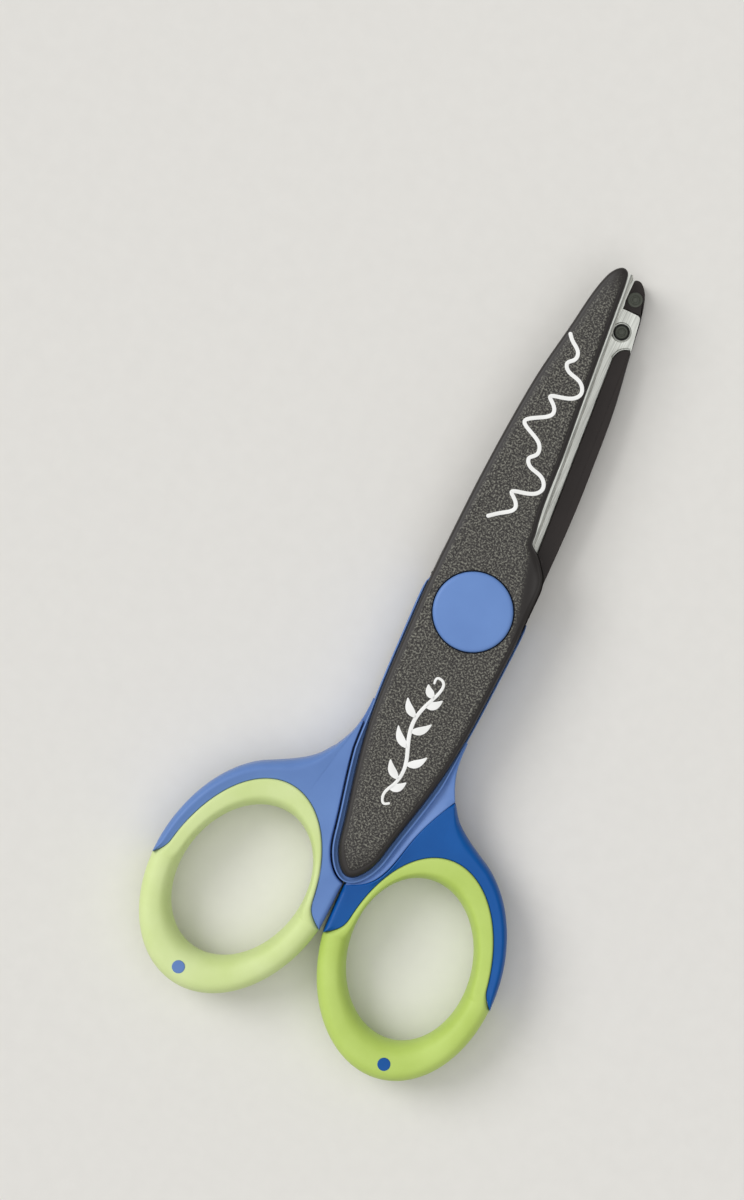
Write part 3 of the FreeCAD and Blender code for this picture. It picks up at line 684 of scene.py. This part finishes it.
def loopRadius(angle):
    centre = holeCentre + (0, loop["rise"])
    size = (loop["holeWidth"] + 2 * loop["sideWall"] + 0.1, loop["holeLength"] + 2 * loop["endWall"])
    reach = ellipseReach(angle, centre, *size, loop["lean"])
    wall = (loop["gap"] - holeCentre[0]) / np.minimum(np.cos(np.radians(angle)), -1e-6)
    return np.where(np.cos(np.radians(angle)) < 0, np.minimum(reach, wall), reach)


def rampShare(angle):
    # 0 where the grip lies inside the hard loop, 1 where it wraps all of it; each ramp is a power of the angle
    def ramp(first, last, power):
        return np.clip((np.asarray(angle, float) - first) / (last - first), 0, 1) ** power
    return np.maximum(ramp(*loop["rightRamp"]), ramp(*loop["leftRamp"]))


def gripRadius(angle):
    # outer boundary of the grip: an inner ellipse above, the whole loop below
    centre = holeCentre + loop["gripShift"]
    size = (loop["holeWidth"] + 2 * loop["gripSide"], loop["holeLength"] + 2 * loop["gripEnd"])
    inside = ellipseReach(angle, centre, *size, loop["gripLean"])
    share = rampShare(angle)
    return inside * (1 - share) + loopRadius(angle) * share


def polar(angle, radius):
    turn = np.radians(angle)
    return holeCentre + np.stack([np.cos(turn), np.sin(turn)], -1) * np.asarray(radius)[..., None]


def roundedSection(inner, outer, innerRound, outerRound, innerTop, outerTop, crown, steps=9):
    # closed sections between two lines; each corner is a quarter ellipse of (width, height), top and bottom alike
    across = outer - inner
    width = np.linalg.norm(across, axis=1)
    unit = across / np.maximum(width, 1e-6)[:, None]
    one = np.ones_like(width)
    ri, ro = np.minimum(innerRound[0] * one, width * 0.49), np.minimum(outerRound[0] * one, width * 0.49)
    di, do = np.minimum(innerRound[1] * one, innerTop * one), np.minimum(outerRound[1] * one, outerTop * one)
    turn = np.linspace(0, math.pi / 2, steps)
    rows = [(ri * (1 - math.cos(t)), innerTop - di * (1 - math.sin(t))) for t in turn]
    for share in (0.17, 0.34, 0.5, 0.66, 0.83):
        level = innerTop + (outerTop - innerTop) * share + crown * (1 - (2 * share - 1) ** 2)
        rows.append((ri + (width - ri - ro) * share, level * one))
    rows += [(width - ro * (1 - math.cos(t)), outerTop - do * (1 - math.sin(t))) for t in turn[::-1]]
    points = [np.column_stack([inner + unit * d[:, None], h]) for d, h in rows]
    points += [np.column_stack([inner + unit * d[:, None], -h]) for d, h in rows[::-1]]
    return np.stack(points, 1)


def gripShape():
    # a closed band from the finger hole out to the grip's boundary, rolled over towards the finger
    angle = np.linspace(0, 360, 720, endpoint=False) + 10
    angle = np.where(angle > 200, angle - 360, angle)
    angle = np.unique(np.round(np.concatenate([angle, np.linspace(-12, 8, 80), np.linspace(162, 189, 120)]), 3))
    inner, outer = polar(angle, holeRadius(angle)), polar(angle, gripRadius(angle) - 0.03)
    width = np.linalg.norm(outer - inner, axis=1)
    share = rampShare(angle)
    edge, top = 0.45 + (loop["edge"] - 0.45) * share, loop["gripTop"]
    roll = (0.42 + 0.08 * smooth(width, 5, 8)) * width
    rings = roundedSection(inner, outer, (roll, 4.4), (edge, edge * 1.1), top - 0.1, top - 0.06 * share, 0.03)
    return surface(rings, True, True)


def bandShape():
    # the hard part of the loop: from the grip's boundary out to the loop's edge, the wing's line and the seam
    gap, foot = loop["gap"], -coverTail - collar["rim"]
    last = np.array([loop["leftRamp"][1]])
    seam = np.linspace(polar(last, loopRadius(last))[0], (gap, foot - 0.55), 60)
    wing = besideCover(collar["wing"])
    wingTop = throughPoints([(gap, foot - 0.55), (1.6, foot + 0.1)] + wing, 120)
    shoulder = besideCover(collar["shoulder"])
    clear = rimLine(collar["halvesGap"], 1800)
    clear = clear[(clear[:, 0] > gap) & (clear[:, 1] < shoulder[1][1] + 0.2)]
    clear = clear[np.argsort(clear[:, 1])]
    horn = throughPoints([shoulder[1], shoulder[0], wing[-1]], 12)
    under = spaced(np.vstack([[(gap, foot - 0.55)], clear[2:], horn]), 120)
    web = [(x, y - coverTail) for x, y in loop["webOuter"]]
    outerLine = throughPoints([wing[-1], (halfWidth + 3.05, wing[-1][1] - 0.6)] + web, 70)
    start = math.degrees(math.atan2(*(outerLine[-1] - holeCentre)[::-1]))
    angle = np.linspace(start, loop["rightRamp"][1], 300)
    ring = polar(angle, loopRadius(angle))
    joint = outerLine[-1] - ring[0]
    ring = ring + joint * np.exp(-np.linspace(0, 12, len(ring)))[:, None]
    top = np.vstack([seam[:-1], wingTop[:-1], outerLine[:-1], ring])
    bottom = np.vstack([seam[:-1], under[:-1], outerLine[:-1], ring])
    kind = np.repeat([0, 1, 2], [59, 119, 369])

    def facing(line):
        a = np.degrees(np.arctan2(*(line - holeCentre).T[::-1]))
        a = np.where(a < -90, a + 360, a)
        return polar(a, np.minimum(gripRadius(a) + 0.03, np.linalg.norm(line - holeCentre, axis=1) - 0.02))

    def eased(values):
        return np.convolve(np.pad(values, 6, mode="edge"), np.ones(13) / 13, mode="valid")

    full = loop["edge"]
    topEdge = eased(np.select([kind == 0, kind == 1], [loop["seamEdge"], 0.3], full))
    lowEdge = eased(np.select([kind == 0, kind == 1], [loop["seamEdge"], 0.5], full))
    hardTop, rise = loop["hardTop"], 0.3
    upper = roundedSection(facing(top), top, (0.25, 0.25), (topEdge, topEdge), hardTop, hardTop + rise, 0.0)
    lower = roundedSection(facing(bottom), bottom, (0.25, 0.25), (lowEdge, lowEdge), hardTop, hardTop + rise, 0.0)
    half = upper.shape[1] // 2
    step, ledge = kind == 1, layers["armTop"] - 0.02
    a, b = upper[:, half - 1].copy(), lower[:, half].copy()
    a[:, 2] = np.where(step, ledge, a[:, 2] * 0.5)
    b[:, 2] = np.where(step, ledge, b[:, 2] * 0.5)
    rings = np.concatenate([upper[:, :half], a[:, None], b[:, None], lower[:, half:]], 1)
    return surface(rings, False, True)


def armShape():
    # the flat arm under the collar, from the loop up to a half-round about the pivot
    rim = rimLine(-0.15, 1400)
    x, y = rim.T
    end = collar["endRadius"] - 0.1
    line = rim[runOf((y < 0) | (np.hypot(x, y) < end))]
    first, last = (math.atan2(p[1], p[0]) for p in (line[-1], line[0]))
    turn = np.linspace(first, last, 60)[1:-1]
    arc = np.stack([np.cos(turn), np.sin(turn)], 1) * end
    return plate(np.vstack([line, arc]), layers["armLow"], layers["armTop"] - 0.01, 0.2)


def wingArm():
    # the arm's part beneath the collar's wing
    wing = besideCover(collar["wing"])
    shoulder = besideCover(collar["shoulder"])
    outer = throughPoints([(0.6, -coverTail - 1.4)] + wing, 60)
    outer = np.vstack([outer, throughPoints([wing[-1]] + shoulder, 20)[1:]])
    inner = np.array([(halfWidth - 3, shoulder[-1][1] - 1), (4.5, -40.0), (2.0, -52.0)])
    line = spaced(np.vstack([outer, inner, outer[:1]]), 200)[:-1]
    return plate(line, layers["armLow"] + 0.03, layers["armTop"] - 0.02, 0.1)


loopFinish = {"front": (royalAbs, limeGrip, "royal_blue_plastic", "lime_rubber"),
              "back": (periwinkleAbs, paleGrip, "periwinkle_plastic", "pale_lime_rubber")}

for back in (False, True):
    side = "back" if back else "front"
    hard, soft, hardSlot, softSlot = loopFinish[side]
    pegX, pegDrop = loop["peg"]
    pegPlace = (holeCentre[0] + pegX, holeCentre[1] - loop["holeLength"] / 2 - pegDrop)
    r, h = loop["pegRadius"], loopHalf - 0.01
    lower = [(0, -h + 0.04), (r - 0.3, -h), (r - 0.1, -h), (r, -h + 0.1)]
    peg = lathe(lower + [(x, -z) for x, z in lower[::-1]], pegPlace, 56)
    piece = addPiece(side + "Handle", joined(bandShape(), armShape(), wingArm(), peg), back, 38)
    finished(piece, hard, side + "_half", hardSlot, side + "_handle")
    finished(addPiece(side + "Grip", gripShape(), back, 50), soft, side + "_half", softSlot, side + "_grip")
print("loops made")


# ---- pivot

r, top = capRadius, (capHigh.z - middle) * 1000
capProfile = [(0, top), (r * 0.5, top - 0.02), (r - 0.9, top - 0.06), (r - 0.4, top - 0.14), (r - 0.12, top - 0.32),
              (r, top - 0.6), (r, 3.6), (r - 2.2, 3.6), (r - 2.2, top - 0.9), (0, top - 0.9)]
# the cap and the ring below use the lighter copy of the periwinkle plastic, which is painted brighter light
cap = addPiece("pivotCap", lathe(capProfile), False, 40)
finished(cap, litPeriwinkleAbs, "front_half", "periwinkle_plastic", "pivot_cap")

ringProfile = [(5.4, 3.6), (8.0, 3.6), (8.0, 5.95), (7.85, 6.25), (7.55, 6.38), (6.1, 6.38), (5.6, 6.2), (5.4, 5.8)]
ring = addPiece("screwRing", lathe(ringProfile), True, 40)
finished(ring, litPeriwinkleAbs, "back_half", "periwinkle_plastic", "back_pivot_ring")

for node, finish in (("pivot_screw", zincSteel), ("pivot_nut", zincSteel), ("spring_washer", zincSteel),
                     ("glide_washer", acetal)):
    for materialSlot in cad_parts[node].material_slots:
        materialSlot.material = finish
print("pivot made")


# ---- printed marks

marks = {"line": 0.78, "rise": 0.045,
         "motif": [(0, 0), (2.6, 2.05), (4.45, 3.95), (3.95, 5.1), (2.5, 6.4), (6.7, 8.1), (7.75, 9.8),
                   (6.55, 11.6), (3.1, 13.0), (2.7, 13.9), (3.75, 15.2), (3.75, 16.6), (1.7, 18.4)],
         "start": (-5.75, 18.15), "drift": -1.2, "repeat": 20.2, "end": (-6.4, 58.1)}


def inkStroke(line, widths):
    # a thin flat stroke laid on the cover's crowned face, with round ends
    along = np.gradient(line, axis=0)
    along /= np.linalg.norm(along, axis=1)[:, None]
    out = np.stack([-along[:, 1], along[:, 0]], 1)
    s = np.concatenate([[0], np.cumsum(np.linalg.norm(np.diff(line, axis=0), axis=1))])
    half = np.asarray(widths) / 2 * np.ones(len(line))
    near = np.minimum(s, s[-1] - s) / half
    half = half * np.sqrt(np.clip(1 - (1 - np.clip(near, 0, 1)) ** 2, 0.0004, 1))
    rings = []
    for share, lift in ((-1, -0.03), (-1, 0.6), (-0.85, 1), (0.85, 1), (1, 0.6), (1, -0.03)):
        xy = line + out * (half * share)[:, None]
        rings.append(ring3(xy, faceHeight(xy) + marks["rise"] * lift))
    return surface(np.array(rings).transpose(1, 0, 2), False, True)


def patternLine():
    # the same motif twice, one repeat higher and a little to the left
    x0, y0 = marks["start"]
    points = [(x0 + x + marks["drift"] * n, y0 + y + marks["repeat"] * n) for n in (0, 1) for x, y in marks["motif"]]
    return throughPoints(points + [marks["end"]], 420)


pattern = addPiece("edgePatternPrint", inkStroke(patternLine(), marks["line"]), False, 60)
finished(pattern, whiteInk, "front_half", "white_ink", "edge_pattern_print")

sprig = {"stem": [(1.4, -41.0), (0.2, -41.6), (-0.5, -40.4), (0.4, -37.5), (1.0, -33.5), (-0.4, -29.0), (-1.3, -24.5),
                  (-0.2, -20.0), (0.9, -17.0), (0.6, -15.0), (-0.7, -14.8), (-0.8, -16.2)],
         "leaves": [(-38.5, 1, 3.4), (-36.0, -1, 4.0), (-32.8, 1, 4.2), (-29.8, -1, 4.6), (-26.6, 1, 4.2),
                    (-23.6, -1, 4.0), (-20.8, 1, 3.4), (-18.6, -1, 2.8)]}


def sprigShape():
    # a curling stem with leaves left and right of it, each a stroke that swells and ends in a point
    stem = throughPoints(sprig["stem"], 260)
    s = np.linspace(0, 1, len(stem))
    shapes = [inkStroke(stem, 0.45 + 0.35 * np.sin(math.pi * s))]
    body = stem[30:-45]
    for y, way, size in sprig["leaves"]:
        root = body[np.argmin(np.abs(body[:, 1] - y))]
        end = root + (way * size * 0.78, size * 0.72)
        bulge = (root + end) / 2 + np.array([way * 0.3, -0.55]) * size * 0.22
        leaf = throughPoints([root.tolist(), bulge.tolist(), end.tolist()], 40)
        t = np.linspace(0, 1, 40)
        shapes.append(inkStroke(leaf, 0.25 + 1.35 * np.sin(math.pi * t ** 0.8) ** 1.2))
    return joined(*shapes)


flourish = addPiece("sprigPrint", sprigShape(), False, 60)
finished(flourish, whiteInk, "front_half", "white_ink", "sprig_print")
print("printed marks made")


# ---- floor, light and camera

stage = {"size": 9.0, "floorHeight": -0.00005, "worldStrength": 0.3}

floorMesh = bpy.data.meshes.new("floor")
half = stage["size"]
corners = [(-half, -half), (half, -half), (half, half), (-half, half)]
floorMesh.from_pydata([(x, y, stage["floorHeight"]) for x, y in corners], [], [(0, 1, 2, 3)])
floor = bpy.data.objects.new("floor", floorMesh)
bpy.context.scene.collection.objects.link(floor)
floorMesh.materials.append(plainFinish("palePaper", "#e4e2dd", "#e6e4df", 0.9))

world = bpy.data.worlds.new("softRoom")
bpy.context.scene.world = world
world.use_nodes = True
world.node_tree.nodes["Background"].inputs["Color"].default_value = (1, 1, 1, 1)
world.node_tree.nodes["Background"].inputs["Strength"].default_value = stage["worldStrength"]

lights = {"key": {"toward": (-0.8, 0.12, 0.72), "spread": 34, "strength": 1.5},
          "overhead": {"toward": (0.06, -0.1, 1.0), "spread": 76, "strength": 1.05}}


def sunLight(name, toward, spread, strength):
    # a distant softbox: its spread in degrees makes the shadows soft, and the floor stays evenly lit
    lamp = bpy.data.lights.new(name, "SUN")
    lamp.energy, lamp.angle = strength, math.radians(spread)
    holder = bpy.data.objects.new(name, lamp)
    holder.rotation_euler = (math.atan2(math.hypot(toward[0], toward[1]), toward[2]), 0,
                             math.atan2(toward[1], toward[0]) + math.pi / 2)
    bpy.context.scene.collection.objects.link(holder)


for name, light in lights.items():
    sunLight(name + "Light", light["toward"], light["spread"], light["strength"])

view = {"turn": 25.4, "centre": (-19.0, -6.4), "distance": 620.0, "frameHeight": 236.5, "level": 13.0}
camera = bpy.data.objects.new("camera", bpy.data.cameras.new("camera"))
camera.data.sensor_width = 36.0
camera.data.lens = 36.0 * view["distance"] / view["frameHeight"]
camera.location = (view["centre"][0] * 0.001, view["centre"][1] * 0.001, (view["distance"] + view["level"]) * 0.001)
camera.rotation_euler = (0, 0, math.radians(view["turn"]))
camera.data.clip_start, camera.data.clip_end = 0.01, 10
bpy.context.scene.collection.objects.link(camera)
bpy.context.scene.camera = camera
bpy.context.scene.view_settings.view_transform = "Standard"
print("stage made")
